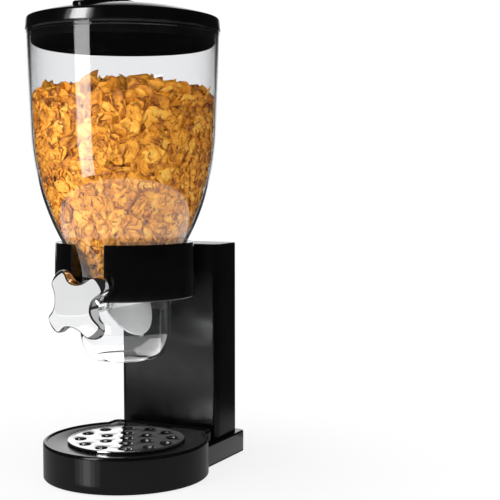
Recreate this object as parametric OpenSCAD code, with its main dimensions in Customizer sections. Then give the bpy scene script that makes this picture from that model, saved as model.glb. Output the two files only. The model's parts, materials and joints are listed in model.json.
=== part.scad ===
// Countertop cereal dispenser: a clear hopper with a paddle wheel in its neck,
// held by a collar on a column, over a round base with a perforated drip plate.
// Millimetres, +Z up, front towards -Y, origin under the middle of the whole object.

/* [Placement] */
// Y of the upright axis through hopper, chute and tray
axis_y = -19.25; // [-21:0.25:-17]
// Height of the knob and paddle wheel axis
wheel_z = 153; // [152:0.5:156]

/* [Base] */
// Radius of the round tray
tray_r = 70.2; // [66:0.1:74]
// Height of the tray's flat top
tray_top = 30; // [26:0.5:34]
// Half width of the square back of the tray
tray_back_x = 50.5; // [46:0.5:54]
// Y of the tray's straight back edge from the hopper axis
tray_back_y = 64; // [58:0.5:68]
// Half width of the foot under the column
foot_x = 55.2; // [53:0.1:58]
// Y of the foot's back face from the hopper axis
foot_y = 119.5; // [117:0.5:122]
// Height of the foot's top
foot_top = 20.4; // [18:0.1:24]
// Wall of the moulded black parts
wall = 2.8; // [2.4:0.1:3.2]
// Height of the rubber feet under the base
feet_h = 1.2; // [0.8:0.1:2]

/* [Drip plate] */
// Radius of the drip plate
plate_r = 49.9; // [44:0.1:52]
// Thickness of the drip plate
plate_t = 1.4; // [1:0.1:2]
// Hole radius in the drip plate
plate_hole_r = 2.9; // [2:0.1:3.5]
// Radius of the countersink round each hole
plate_sink_r = 4.7; // [4:0.1:5]

/* [Column] */
// Half width of the column
column_x = 50; // [46:0.5:52]
// Y of the column's front face from the hopper axis
column_front = 72; // [70:0.5:74]
// Y of the column's back face from the hopper axis
column_back_y = 111.8; // [108:0.1:114]
// Height of the column's top
column_top = 194.4; // [188:0.1:200]

/* [Collar] */
// Outer radius of the collar at its top
collar_top_r = 58.1; // [57:0.1:60]
// Outer radius of the collar at its bottom
collar_low_r = 59.1; // [58:0.1:61]
// Height of the collar's top
collar_top = 199.7; // [196:0.1:204]
// Height of the collar's bottom
collar_low = 153.9; // [152:0.1:156]
// Half width of the front slot that the knob's hub slides in
slot_x = 15; // [13:0.5:18]

/* [Hopper] */
// Outer radius where the straight wall meets the curved part
bowl_r = 77.5; // [74:0.1:80]
// Height where the straight wall meets the curved part
bowl_z = 294; // [285:1:305]
// Slope of the straight wall from upright, in degrees
draft = 1.75; // [0.5:0.05:2.5]
// Radius of the curve between wall and cone
bowl_curve = 213; // [190:1:240]
// Slope of the cone from upright, in degrees
cone = 26.8; // [24:0.1:30]
// Thickness of the clear plastic
clear_t = 2; // [1.6:0.1:2.4]
// Outer radius of the neck and of the chute
neck_r = 38; // [36:0.1:38.5]

/* [Lid] */
// Outer radius of the lid's skirt at its lower edge
lid_r = 81; // [80:0.1:84]
// Height of the lid's lower edge
lid_low = 375; // [372:0.5:378]
// Height of the top of the lid's dome
lid_top = 397.3; // [395:0.1:400]
// Height of the raised grip over the dome
grip_h = 3; // [2:0.5:6]
// Width of the raised grip
grip_w = 18; // [14:1:22]
// Length of the raised grip
grip_l = 134; // [110:1:136]

/* [Knob and wheel] */
// Distance from the knob's axis to the end of a lobe
knob_r = 32.2; // [29:0.1:33]
// Half width of a lobe
lobe_r = 8.5; // [7:0.1:10]
// Turn of the lobes from the +X axis, in degrees
knob_turn = 38.5; // [0:0.5:90]
// Turn of the vanes from the +X axis, in degrees
vane_turn = 26; // [0:0.5:90]
// Radius that the vanes sweep
vane_r = 35; // [33:0.1:35.2]
// Thickness of a vane
vane_t = 1.6; // [1:0.1:2.4]
// Radius of the drive shaft
shaft_r = 4; // [3:0.1:5]

/* [Hidden] */
$fn = 96;

black = [0.05, 0.05, 0.055];
clear = [0.8, 0.86, 0.9, 0.35];
chrome = [0.82, 0.83, 0.85];
steel = [0.6, 0.61, 0.63];
rubber = [0.16, 0.16, 0.17];
silicone = [0.9, 0.9, 0.88];
acetal = [0.93, 0.93, 0.9];

e = 0.01;                       // overlap that keeps cuts clean
gap = 0.05;                     // clearance of parts that fit into each other
edge_r = 7;                     // corner radius of the tray's back and the foot
column_r = 5.5;                 // corner radius of the column
rim_h = 1.3;                    // height of the tray's raised rim
cover_t = 2;                    // thickness of the base cover
well_r = 46;                    // radius of the crumb well
well_floor = 13;                // top of the crumb well's floor
ledge_z = tray_top + 0.2 - 0.6; // ledge that the drip plate lies on

function arc(cx, cz, r, a0, a1, n) =
    [for (i = [0:n]) let (a = a0 + (a1 - a0) * i / n) [cx + r * cos(a), cz + r * sin(a)]];
function turned(p, a) = [p.x * cos(a) - p.y * sin(a), p.x * sin(a) + p.y * cos(a)];
function reversed(list) = [for (i = [len(list) - 1:-1:0]) list[i]];

module on_axis() {
    translate([0, axis_y, 0]) children();
}

// Turns an upright part so that its +Z runs towards +Y, through the wheel's axis.
module on_wheel(y) {
    translate([0, axis_y + y, wheel_z]) rotate([-90, 0, 0]) children();
}

module ring(outer, inner, low, high) {
    translate([0, 0, low]) difference() {
        cylinder(r = outer, h = high - low);
        translate([0, 0, -e]) cylinder(r = inner, h = high - low + 2 * e);
    }
}

module rounded_box_2d(x, y0, y1, r) {
    translate([-x + r, y0]) square([2 * (x - r), y1 - y0]);
    translate([-x, y0 + r]) square([2 * x, y1 - y0 - 2 * r]);
    for (sx = [-1, 1], y = [y0 + r, y1 - r]) translate([sx * (x - r), y]) circle(r = r);
}

// A screw along -Z with its head's top at z = 0.
module screw(head_r, head_h, shank_r, length) {
    difference() {
        union() {
            translate([0, 0, -head_h]) cylinder(r = head_r, h = head_h);
            translate([0, 0, -length]) cylinder(r = shank_r, h = length - head_h + e);
        }
        for (a = [0, 90]) rotate([0, 0, a])
            translate([-head_r * 0.6, -head_r * 0.13, -head_h * 0.45])
                cube([head_r * 1.2, head_r * 0.26, head_h]);
    }
}

// ---------------------------------------------------------------- base

module tray_2d(inset) {
    circle(r = tray_r - inset);
    rounded_box_2d(tray_back_x - inset, 0, tray_back_y - inset, edge_r - inset);
}

module foot_2d(inset) {
    rounded_box_2d(foot_x - inset, 20, foot_y - inset, edge_r - inset);
}

base_posts = [for (a = [45, 135, 225, 315]) [58.5 * cos(a), 58.5 * sin(a)]];
foot_posts = [[-46, 108], [46, 108]];
bolt_spots = [for (x = [-40, 40], y = [82, 100]) [x, y]];
feet_spots = [[-30, -50], [30, -50], [0, 58], [-25, 106], [25, 106]];
notch_l = 26;                   // length of the finger notch behind the drip plate
post_r = 3.6;
post_hole_r = 1.5;
bolt_r = 2;
foot_pad_r = 7;
foot_stem_r = 2.4;

module base_shell() {
    color(black) on_axis() difference() {
        union() {
            difference() {
                union() {
                    translate([0, 0, feet_h]) linear_extrude(tray_top - feet_h) tray_2d(0);
                    translate([0, 0, tray_top - e]) linear_extrude(rim_h + e) difference() {
                        tray_2d(0.4);
                        tray_2d(2.6);
                    }
                    translate([0, 0, feet_h]) linear_extrude(foot_top - feet_h) foot_2d(0);
                }
                translate([0, 0, feet_h - e])
                    linear_extrude(tray_top - wall - feet_h + e) tray_2d(wall);
                translate([0, 0, feet_h - e])
                    linear_extrude(foot_top - wall - feet_h + e) foot_2d(wall);
            }
            // the crumb well hangs under the tray's top
            ring(well_r + 5.5, well_r, tray_top - 6, tray_top - e);
            ring(well_r + 2.4, well_r, well_floor - 2.4, tray_top - 5);
            translate([-notch_l / 2 - 2, well_r, tray_top - 8])
                cube([notch_l + 4, tray_back_y - well_r - 1, 6]);
            translate([0, 0, well_floor - 2.4]) cylinder(r = well_r + 1, h = 2.4);
            for (p = base_posts) translate([p.x, p.y, feet_h + cover_t])
                cylinder(r = post_r, h = tray_top - 1 - feet_h - cover_t);
            for (p = foot_posts) translate([p.x, p.y, feet_h + cover_t])
                cylinder(r = post_r, h = foot_top - 1 - feet_h - cover_t);
        }
        translate([0, 0, well_floor]) cylinder(r = well_r, h = 40);
        translate([0, 0, ledge_z]) cylinder(r = plate_r + 0.4, h = 10);
        // finger notch behind the drip plate
        translate([0, plate_r + 1, tray_top + 4.5]) rotate([0, 90, 0])
            cylinder(r = 10, h = notch_l, center = true);
        for (p = concat(base_posts, foot_posts)) translate([p.x, p.y, feet_h])
            cylinder(r = post_hole_r, h = 12);
        for (p = bolt_spots) translate([p.x, p.y, foot_top - wall - 1])
            cylinder(r = bolt_r + 0.2, h = wall + 2);
    }
}

module base_cover() {
    color(black) on_axis() difference() {
        translate([0, 0, feet_h]) linear_extrude(cover_t) union() {
            tray_2d(wall + 0.2);
            foot_2d(wall + 0.2);
        }
        for (p = concat(base_posts, foot_posts)) translate([p.x, p.y, 0]) {
            cylinder(r = post_hole_r + 0.1, h = 10);
            translate([0, 0, feet_h - e]) cylinder(r = 3.2, h = 1 + e);
        }
        for (p = feet_spots) translate([p.x, p.y, 0]) cylinder(r = foot_stem_r + gap, h = 10);
        for (p = bolt_spots) translate([p.x, p.y, 0]) cylinder(r = 5, h = 10);
    }
}

module rubber_feet() {
    color(rubber) on_axis() for (p = feet_spots) translate([p.x, p.y, 0]) {
        cylinder(r = foot_pad_r, h = feet_h);
        cylinder(r = foot_stem_r, h = feet_h + cover_t + 0.6);
    }
}

module base_screws() {
    color(steel) on_axis() for (p = concat(base_posts, foot_posts))
        translate([p.x, p.y, feet_h + 0.1]) rotate([180, 0, 0])
            screw(2.9, 0.85, post_hole_r - gap, 9);
}

module stand_bolts() {
    color(steel) on_axis() for (p = bolt_spots)
        translate([p.x, p.y, foot_top - wall - 2.6]) rotate([180, 0, 0]) screw(4, 2.6, bolt_r, 16);
}

module drip_plate() {
    spots = concat([[0, 0]],
                   [for (a = [0:60:300]) [0.39 * plate_r * cos(a), 0.39 * plate_r * sin(a)]],
                   [for (a = [0:30:330]) [0.78 * plate_r * cos(a), 0.78 * plate_r * sin(a)]]);
    top = ledge_z + plate_t + 0.6;
    dish = 0.9;
    color(chrome) on_axis() difference() {
        union() {
            ring(plate_r, plate_r - 2.2, ledge_z, top);
            translate([0, 0, top - plate_t]) cylinder(r = plate_r - 2, h = plate_t);
            for (p = spots) translate([p.x, p.y, top - plate_t - dish])
                cylinder(r1 = plate_hole_r + 1, r2 = plate_sink_r + 0.6, h = dish + 0.2);
        }
        for (p = spots) translate([p.x, p.y, 0]) {
            cylinder(r = plate_hole_r, h = 60);
            translate([0, 0, top - plate_t])
                cylinder(r1 = plate_hole_r, r2 = plate_sink_r, h = plate_t + e);
        }
    }
}

// ---------------------------------------------------------------- column

hatch_x = 41;                   // half width of the opening in the column's back
hatch_low = 32;
hatch_high = 184;
hatch_t = 1.6;                  // thickness of the back panel
hatch_spots = [for (x = [-36, 36], z = [37, 179]) [x, z]];
arm_x = 22;                     // half width of the arm between collar and column
arm_spots = [for (x = [-13, 13], z = [166, 186]) [x, z]];

module column_shell() {
    y0 = column_front;
    y1 = column_back_y;
    color(black) on_axis() difference() {
        union() {
            difference() {
                translate([0, 0, foot_top]) linear_extrude(column_top - foot_top)
                    rounded_box_2d(column_x, y0, y1, column_r);
                translate([0, 0, foot_top - e]) linear_extrude(column_top - foot_top - wall + e)
                    rounded_box_2d(column_x - wall, y0 + wall, y1 - wall, column_r - wall);
            }
            // frame behind the opening in the back
            translate([-hatch_x - 2, y1 - wall - 2, hatch_low - 2])
                cube([2 * hatch_x + 4, 2 + e, hatch_high - hatch_low + 4]);
            // bolt bosses, each with a rib to the side wall
            for (p = bolt_spots) translate([p.x, p.y, foot_top]) cylinder(r = 4.6, h = 16);
            for (p = bolt_spots, sx = [-1, 1]) if (sx * p.x > 0)
                translate([sx * (abs(p.x) + column_x - 1) / 2, p.y, foot_top + 8])
                    cube([column_x - 1 - abs(p.x), 3, 16], center = true);
            for (p = hatch_spots) translate([p.x, y1 - 14, p.y]) rotate([-90, 0, 0])
                cylinder(r = 4, h = 14 - hatch_t);
        }
        translate([-hatch_x, y1 - hatch_t, hatch_low])
            cube([2 * hatch_x, 20, hatch_high - hatch_low]);
        difference() {
            translate([-hatch_x + 3, y1 - wall - 3, hatch_low + 3])
                cube([2 * hatch_x - 6, 20, hatch_high - hatch_low - 6]);
            for (p = hatch_spots) translate([p.x, y1 - 14, p.y]) rotate([-90, 0, 0])
                cylinder(r = 4, h = 14 - hatch_t);
        }
        for (p = bolt_spots) translate([p.x, p.y, foot_top - e]) cylinder(r = bolt_r + gap, h = 14);
        for (p = hatch_spots) translate([p.x, y1 - 12, p.y]) rotate([-90, 0, 0])
            cylinder(r = post_hole_r, h = 30);
        for (p = arm_spots) translate([p.x, y0 - 1, p.y]) rotate([-90, 0, 0])
            cylinder(r = bolt_r + 0.2, h = wall + 2);
    }
}

module column_back() {
    y1 = column_back_y;
    color(black) on_axis() difference() {
        translate([-hatch_x + 0.2, y1 - hatch_t, hatch_low + 0.2])
            cube([2 * hatch_x - 0.4, hatch_t, hatch_high - hatch_low - 0.4]);
        for (p = hatch_spots) translate([p.x, y1, p.y]) rotate([90, 0, 0]) {
            translate([0, 0, -1]) cylinder(r = post_hole_r + 0.1, h = 10);
            translate([0, 0, -e]) cylinder(r = 3.1, h = 1.2 + e);
        }
    }
}

module column_screws() {
    color(steel) on_axis() for (p = hatch_spots)
        translate([p.x, column_back_y - 0.3, p.y]) rotate([-90, 0, 0])
            screw(2.9, 0.9, post_hole_r - gap, 9);
}

// ---------------------------------------------------------------- collar

ledge_t = 2.6;                  // thickness of the ledge that carries the hopper
ledge_r = 39;                   // hole in the ledge, for the chute
seat_r = 44;                    // radius of the socket over the ledge
pad_t = 1;                      // thickness of the seat pads
pad_spots = [for (a = [0, 60, 120, 180, 240, 300]) [41.4 * cos(a), 41.4 * sin(a)]];
collar_wall = 2.6;

// Inner outline of the seat from the ledge up.
seat_line = [
    [seat_r, collar_low + ledge_t], [seat_r, 173], [seat_r + 1, 179],
    [47.6, 186.4], [53.6, collar_top]
];

module collar_solid() {
    rotate_extrude() polygon(concat(
        [[collar_low_r, collar_low], [collar_top_r, collar_top - 0.8], [collar_top_r - 0.8, collar_top]],
        reversed(seat_line),
        [[ledge_r, collar_low + ledge_t], [ledge_r, collar_low]]));
}

// Hollow between the outer wall and the seat, open underneath.
module collar_hollow() {
    rotate_extrude() polygon([
        [collar_low_r - collar_wall, collar_low - 1], [collar_top_r - collar_wall, collar_top - 9],
        [53.5, collar_top - 9], [seat_r + collar_wall + 3.4, 186 - 5], [seat_r + collar_wall + 0.6, 176],
        [seat_r + collar_wall, 172], [seat_r + collar_wall, collar_low - 1]]);
}

module collar() {
    cheek = 2.6;
    color(black) on_axis() difference() {
        union() {
            difference() {
                collar_solid();
                collar_hollow();
            }
            // cheeks close the hollow beside the slot
            intersection() {
                collar_solid();
                for (sx = [-1, 1]) translate([sx * (slot_x + cheek / 2) - cheek / 2, -70, 140])
                    cube([cheek, 40, 80]);
            }
            // arm to the column
            difference() {
                translate([-arm_x, 46, collar_low + 3])
                    cube([2 * arm_x, column_front - 46, column_top - collar_low - 4]);
                translate([0, 0, 100]) cylinder(r = collar_low_r - 2, h = 120);
            }
        }
        translate([-slot_x, -90, 130]) cube([2 * slot_x, 90, 100]);
        for (p = arm_spots) translate([p.x, column_front + 1, p.y]) rotate([90, 0, 0])
            cylinder(r = bolt_r, h = 13);
    }
}

module collar_screws() {
    color(steel) on_axis() for (p = arm_spots)
        translate([p.x, column_front + wall + 2.4, p.y]) rotate([-90, 0, 0])
            screw(3.8, 2.4, bolt_r - gap, 15);
}

module seat_pads() {
    color(rubber) on_axis() for (p = pad_spots)
        translate([p.x, p.y, collar_low + ledge_t]) cylinder(r = 1.9, h = pad_t);
}

// ---------------------------------------------------------------- hopper

flange_r = 43;
flange_t = 3.5;                 // thick enough to hold the seal's groove above the front bush
flange_z = collar_low + ledge_t + pad_t + flange_t;  // where chute and hopper meet
rim_r = 79;                     // outer radius of the hopper's rim inside the lid
rim_t = 1.8;
rim_top = 382;
bead_low = 371.4;
bead_high = 374.6;
bead_r = 80.3;

// Outline of the clear wall from the neck up to the bead, set inward by d.
function bowl_line(d, r_neck) =
    let (cx = bowl_r - bowl_curve * cos(draft),
         cz = bowl_z + bowl_curve * sin(draft),
         rr = bowl_curve - d,
         end = [cx + rr * cos(cone), cz - rr * sin(cone)],
         neck_z = end[1] - (end[0] - r_neck) / tan(cone),
         start = [cx + rr * cos(draft), cz - rr * sin(draft)])
    concat([[r_neck, neck_z]], arc(cx, cz, rr, -cone, -draft, 24),
           [[start[0] + (bead_low - start[1]) * tan(draft), bead_low]]);

module hopper_bowl() {
    outer = bowl_line(0, neck_r);
    inner = bowl_line(clear_t, neck_r - clear_t);
    color(clear) on_axis() rotate_extrude() polygon(concat(
        [[neck_r - clear_t, flange_z], [flange_r, flange_z], [flange_r, flange_z + flange_t],
         [neck_r, flange_z + flange_t]],
        outer,
        [[bead_r, bead_low + 0.8], [bead_r, bead_high], [rim_r, bead_high], [rim_r, rim_top],
         [rim_r - rim_t, rim_top], [rim_r - rim_t, bead_low + 2]],
        reversed(inner)));
}

outlet_r = 27;                  // outer radius of the chute at its outlet
curve_z = 126;                  // height where the chute's wall starts to curve in
boss_r = 7.4;                   // radius of the chute's bearing bosses
bush_r = 5.5;
boss_in = 30.5;                 // distance of the bosses' inner faces from the hopper axis

// Outline of the chute's wall from the top down, set inward by d.
function chute_line(d) =
    let (r1 = 41, r2 = 16, turn1 = 26, turn2 = 62,
         c1 = [neck_r - r1, curve_z],
         c2 = [c1[0] + (r1 - r2) * cos(turn1), c1[1] - (r1 - r2) * sin(turn1)])
    concat(arc(c1[0], c1[1], r1 - d, 0, -turn1, 8), arc(c2[0], c2[1], r2 - d, -turn1, -turn2, 8));

module chute() {
    top = flange_z;
    outer = chute_line(0);
    inner = chute_line(clear_t);
    color(clear) difference() {
        union() {
            on_axis() rotate_extrude() polygon(concat(
                [[neck_r - clear_t, top], [flange_r, top], [flange_r, top - flange_t],
                 [neck_r, top - flange_t]],
                outer, reversed(inner)));
            // bosses for the shaft, trimmed to the round wall outside
            on_wheel(-41.5) cylinder(r = boss_r, h = 41.5 - boss_in);
            on_wheel(boss_in) cylinder(r = boss_r, h = neck_r - boss_in - 1);
        }
        // shaft bores
        on_wheel(-50) cylinder(r = bush_r + gap, h = 50 - boss_in + 1);
        on_wheel(boss_in - 1) cylinder(r = bush_r + gap, h = 5.5);
        // keep the front boss below the hopper's flange and the seal's groove
        on_axis() translate([-20, -60, top]) cube([40, 40, 20]);
        on_axis() translate([-20, 25, top]) cube([40, 30, 20]);
        on_axis() ring(41.9, 39.5, top - 1, top + 5);
    }
}

module neck_seal() {
    color(silicone) on_axis() ring(41.8, 39.6, flange_z - 1, flange_z);
}

module bush(length) {
    difference() {
        cylinder(r = bush_r, h = length);
        translate([0, 0, -e]) cylinder(r = shaft_r + gap, h = length + 2 * e);
    }
}

module front_bush() {
    color(acetal) on_wheel(-41.5) bush(41.5 - boss_in);
}

module rear_bush() {
    color(acetal) on_wheel(boss_in) bush(4.4);
}

module bush_seal() {
    color(rubber) on_wheel(-42.3) difference() {
        cylinder(r = bush_r, h = 0.8);
        translate([0, 0, -e]) cylinder(r = shaft_r + 0.08, h = 1);
    }
}

// ---------------------------------------------------------------- lid

dome_r = 80.3;                  // radius of the lid's edge
dome_z = 384.9;                 // height of the lid's edge
skirt_in = 79.35;
lid_t = 2.4;
plug_r = 76.85;
plug_low = 365.7;
plug_floor = 369;
scoop_r = 38;                   // radius of the two finger scoops
scoop_x = 31;
scoop_z = 423;
dome_curve = (pow(dome_r, 2) + pow(lid_top - dome_z, 2)) / (2 * (lid_top - dome_z));
lid_posts = [for (a = [45:90:315]) [62 * cos(a), 62 * sin(a)]];
grip_spots = [-50, 50];

// Outline of the dome from its middle to the radius r, set down by d.
function dome_line(r, d, n) =
    let (rr = dome_curve - d, a1 = acos(r / rr))
    arc(0, lid_top - dome_curve, rr, 90, a1, n);

module dome_solid(rise) {
    rotate_extrude() polygon(concat([[0, rim_top]], dome_line(dome_r - 1.4, -rise, 14),
                                    [[dome_r - 1.4, rim_top]]));
}

module scoops(r, x_in) {
    for (sx = [-1, 1]) intersection() {
        translate([sx * scoop_x, 0, scoop_z]) sphere(r = r);
        translate([sx > 0 ? x_in : -x_in - 80, -50, 360]) cube([80, 100, 80]);
    }
}

module lid_cap() {
    color(black) on_axis() difference() {
        union() {
            difference() {
                rotate_extrude() polygon(concat(
                    dome_line(dome_r - 1, 0, 14),
                    [[dome_r, dome_z - 0.9], [lid_r, lid_low + 0.6], [lid_r - 0.5, lid_low],
                     [skirt_in, lid_low], [skirt_in, rim_top], [70, rim_top]],
                    reversed(dome_line(66, lid_t, 10))));
                scoops(scoop_r, grip_w / 2);
            }
            intersection() {
                dome_solid(0);
                difference() {
                    scoops(scoop_r + 2, grip_w / 2 - 2);
                    scoops(scoop_r, grip_w / 2);
                }
            }
            for (p = lid_posts) translate([p.x, p.y, rim_top - 2]) cylinder(r = 4, h = 8.5);
        }
        for (p = lid_posts) translate([p.x, p.y, rim_top - 3]) cylinder(r = post_hole_r, h = 5.5);
        for (y = grip_spots) translate([0, y, 380]) cylinder(r = post_hole_r + 0.1, h = 30);
    }
}

module grip_2d() {
    square([grip_w, grip_l - grip_w], center = true);
    for (sy = [-1, 1]) translate([0, sy * (grip_l - grip_w) / 2]) circle(r = grip_w / 2);
}

module lid_grip() {
    color(black) on_axis() difference() {
        intersection() {
            dome_solid(grip_h);
            translate([0, 0, 384]) linear_extrude(30) grip_2d();
        }
        rotate_extrude() polygon(concat([[0, 300]], dome_line(dome_r - 1, 0, 14), [[dome_r - 1, 300]]));
        for (y = grip_spots) translate([0, y, 380]) cylinder(r = post_hole_r, h = 13.2);
    }
}

module grip_screws() {
    z = lid_top - dome_curve + sqrt(pow(dome_curve - lid_t, 2) - pow(grip_spots[1], 2));
    color(steel) on_axis() for (y = grip_spots)
        translate([0, y, z - 1.9]) rotate([180, 0, 0]) screw(2.8, 1.4, post_hole_r - gap, 4.8);
}

module lid_plug() {
    groove = 1.6;
    color(black) on_axis() difference() {
        union() {
            ring(plug_r, plug_r - 2.4, plug_low, rim_top);
            translate([0, 0, plug_floor]) cylinder(r = plug_r - 2, h = 2);
            for (p = lid_posts) translate([p.x, p.y, plug_floor])
                cylinder(r = 4, h = rim_top - 2 - plug_floor);
        }
        translate([0, 0, 374]) difference() {
            cylinder(r = plug_r + 1, h = 3);
            translate([0, 0, -e]) cylinder(r = plug_r - groove, h = 4);
        }
        for (p = lid_posts) translate([p.x, p.y, plug_floor - 1]) {
            cylinder(r = post_hole_r + 0.1, h = 20);
            cylinder(r = 3.2, h = 2.6);
        }
    }
}

module lid_seal() {
    color(rubber) on_axis() ring(plug_r + gap, plug_r - 1.6, 374, 377);
}

module lid_screws() {
    color(steel) on_axis() for (p = lid_posts)
        translate([p.x, p.y, plug_floor + 0.2]) rotate([180, 0, 0])
            screw(2.9, 1.4, post_hole_r - gap, 14.5);
}

// ---------------------------------------------------------------- knob and wheel

shaft_front = -73.8;            // Y of the shaft's front end from the hopper axis
shaft_back = 34.6;              // Y of its rear end
hub_front = -76.5;              // Y of the knob hub's front end
hub_back = -43.6;               // Y of the knob hub's rear end
screw_y = -50.5;                // Y of the knob's set screw
pin_r = 1.2;                    // radius of the cross pin's hole
pin_turn = -vane_turn + 45;     // the cross pin lies half way between two vanes
washer_r = 5.2;                 // small enough to stay clear of the chute's flange
knob_back = -66.5;              // Y of the knob's back from the hopper axis
knob_front = -80.5;             // Y of the middle of its face
crease_r = 17;                  // radius of the crease where the lobes start to slope back
crease_drop = 1.6;              // how far the face has dropped at the crease
lobe_drop = 7.5;                // and would have at the lobes' ends without their chamfer
lobe_slope = (lobe_drop - crease_drop) / (knob_r - crease_r);
tip_r = 28;                     // radius where the chamfer of the lobes' ends starts
tip_drop = 2.6;                 // how much lower the chamfer leaves the lobes' ends
tip_slope = lobe_slope + tip_drop / (knob_r - tip_r);
tip_start = crease_drop + (tip_r - crease_r) * lobe_slope;
face_curve = (pow(crease_r, 2) + pow(crease_drop, 2)) / (2 * crease_drop);
hollow_out = 21.5;              // where the hollow in the back of a lobe sits
hollow_r = 5.4;
hollow_start = 10.2;            // from the middle of the face to the hollow's floor
hub_r = 8;
hub_half = 30;

knob_fillet = 13;               // radius of the hollows between the lobes
// Outline of the four lobes, each a round end followed by the hollow to the next one.
knob_line =
    let (c = (knob_fillet + lobe_r) * sqrt(2))
    [for (k = [0:3]) each concat(
        [for (p = arc(knob_r - lobe_r, 0, lobe_r, -90, 90, 12)) turned(p, 90 * k)],
        [for (p = arc(c * cos(45), c * sin(45), knob_fillet, 270, 180, 6)) turned(p, 90 * k)])];

module knob() {
    depth = knob_back - knob_front;
    color(chrome) on_wheel(knob_front) difference() {
        intersection() {
            rotate(-knob_turn) linear_extrude(depth) polygon(knob_line);
            rotate_extrude() polygon(concat(
                arc(0, face_curve, face_curve, -90, asin(crease_r / face_curve) - 90, 6),
                [[tip_r, tip_start], [knob_r + 2, tip_start + (knob_r + 2 - tip_r) * tip_slope],
                 [knob_r + 2, depth], [0, depth]]));
        }
        translate([0, 0, 4]) cylinder(r = hub_r + gap, h = depth);
        // hollow back of each lobe
        for (k = [0:3]) rotate(-knob_turn + 90 * k) translate([hollow_out, 0, hollow_start])
            cylinder(r = hollow_r, h = depth);
    }
}

module knob_hub() {
    color(chrome) on_wheel(hub_front) difference() {
        cylinder(r = hub_r, h = hub_back - hub_front);
        translate([0, 0, 2.5]) cylinder(r = shaft_r + gap, h = 40);
        translate([0, 0, screw_y - hub_front]) rotate([90, 0, 0]) cylinder(r = 1.5, h = 20);
    }
}

module knob_screw() {
    color(steel) on_wheel(screw_y) rotate([90, 0, 0])
        translate([0, 0, shaft_r]) difference() {
            cylinder(r = 1.5 - gap, h = hub_r - shaft_r - 0.4);
            translate([0, 0, hub_r - shaft_r - 1.6]) cylinder(r = 0.7, h = 3);
        }
}

module drive_shaft() {
    color(steel) on_wheel(shaft_front) difference() {
        cylinder(r = shaft_r, h = shaft_back - shaft_front);
        translate([0, 0, -shaft_front]) rotate([90, 0, pin_turn])
            cylinder(r = pin_r, h = 40, center = true);
    }
}

module paddle_hub() {
    color(acetal) on_wheel(-hub_half) difference() {
        cylinder(r = hub_r, h = 2 * hub_half);
        translate([0, 0, -e]) cylinder(r = shaft_r + gap, h = 2 * hub_half + 1);
        for (k = [0:3]) rotate(-vane_turn + 90 * k)
            translate([5.6, -vane_t / 2, -e]) cube([10, vane_t, 2 * hub_half + 1]);
        translate([0, 0, hub_half]) rotate([90, 0, pin_turn])
            cylinder(r = pin_r, h = 40, center = true);
    }
}

module paddle_vanes() {
    color(silicone) on_wheel(0) for (k = [0:3]) rotate(-vane_turn + 90 * k)
        translate([0, vane_t / 2, 0]) rotate([90, 0, 0]) linear_extrude(vane_t) difference() {
            intersection() {
                circle(r = vane_r, $fn = 120);
                translate([5.6, -40]) square([40, 80]);
            }
            for (sy = [-1, 1]) translate([0, sy * (hub_half + 10)]) square([2 * 8.6, 20], center = true);
        }
}

module hub_pin() {
    color(steel) on_wheel(0) rotate([90, 0, pin_turn])
        cylinder(r = pin_r - gap, h = 2 * hub_r - 0.6, center = true);
}

module thrust_washer() {
    color(acetal) on_wheel(-43.4) difference() {
        cylinder(r = washer_r, h = 0.9);
        translate([0, 0, -e]) cylinder(r = shaft_r + gap, h = 2);
    }
}

base_shell();
base_cover();
rubber_feet();
base_screws();
drip_plate();
column_shell();
column_back();
column_screws();
stand_bolts();
collar();
collar_screws();
seat_pads();
hopper_bowl();
chute();
neck_seal();
front_bush();
rear_bush();
bush_seal();
lid_cap();
lid_grip();
lid_plug();
lid_seal();
lid_screws();
grip_screws();
knob();
knob_hub();
knob_screw();
drive_shaft();
paddle_hub();
paddle_vanes();
hub_pin();
thrust_washer();
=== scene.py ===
"""Looks of the countertop cereal dispenser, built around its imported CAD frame.

Shapes are worked out in millimetres about the hopper's upright axis and stored in metres
in the row frame. The CAD carries the motion; these pieces ride on its bodies.
"""

import json
import math

import bmesh
import bpy
import numpy as np
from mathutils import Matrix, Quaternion, Vector


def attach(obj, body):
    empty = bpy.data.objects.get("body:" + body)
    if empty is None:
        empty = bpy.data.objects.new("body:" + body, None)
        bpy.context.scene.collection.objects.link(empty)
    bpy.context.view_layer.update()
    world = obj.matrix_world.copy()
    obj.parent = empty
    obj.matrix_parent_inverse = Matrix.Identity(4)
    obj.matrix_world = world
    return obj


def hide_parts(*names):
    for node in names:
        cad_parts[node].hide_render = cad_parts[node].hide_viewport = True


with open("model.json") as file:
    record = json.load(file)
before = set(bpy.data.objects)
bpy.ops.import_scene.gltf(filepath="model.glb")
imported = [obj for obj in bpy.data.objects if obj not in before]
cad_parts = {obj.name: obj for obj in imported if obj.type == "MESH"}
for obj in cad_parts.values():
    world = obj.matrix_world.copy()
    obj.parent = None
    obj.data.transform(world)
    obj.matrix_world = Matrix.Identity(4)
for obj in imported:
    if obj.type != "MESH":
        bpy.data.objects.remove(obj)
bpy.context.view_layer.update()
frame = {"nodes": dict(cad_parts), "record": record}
nodes = frame["nodes"]

MM = 0.001
AXIS_Y = -19.25  # hopper axis in the row frame
WHEEL_Z = 153.0
ROUND = 192  # segments of large round pieces
TINY = 1e-6
QUARTER = range(0, 91, 15)  # degrees of a rounded edge, from the side to the top


# ------------------------------------------------------------------ mesh helpers

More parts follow.
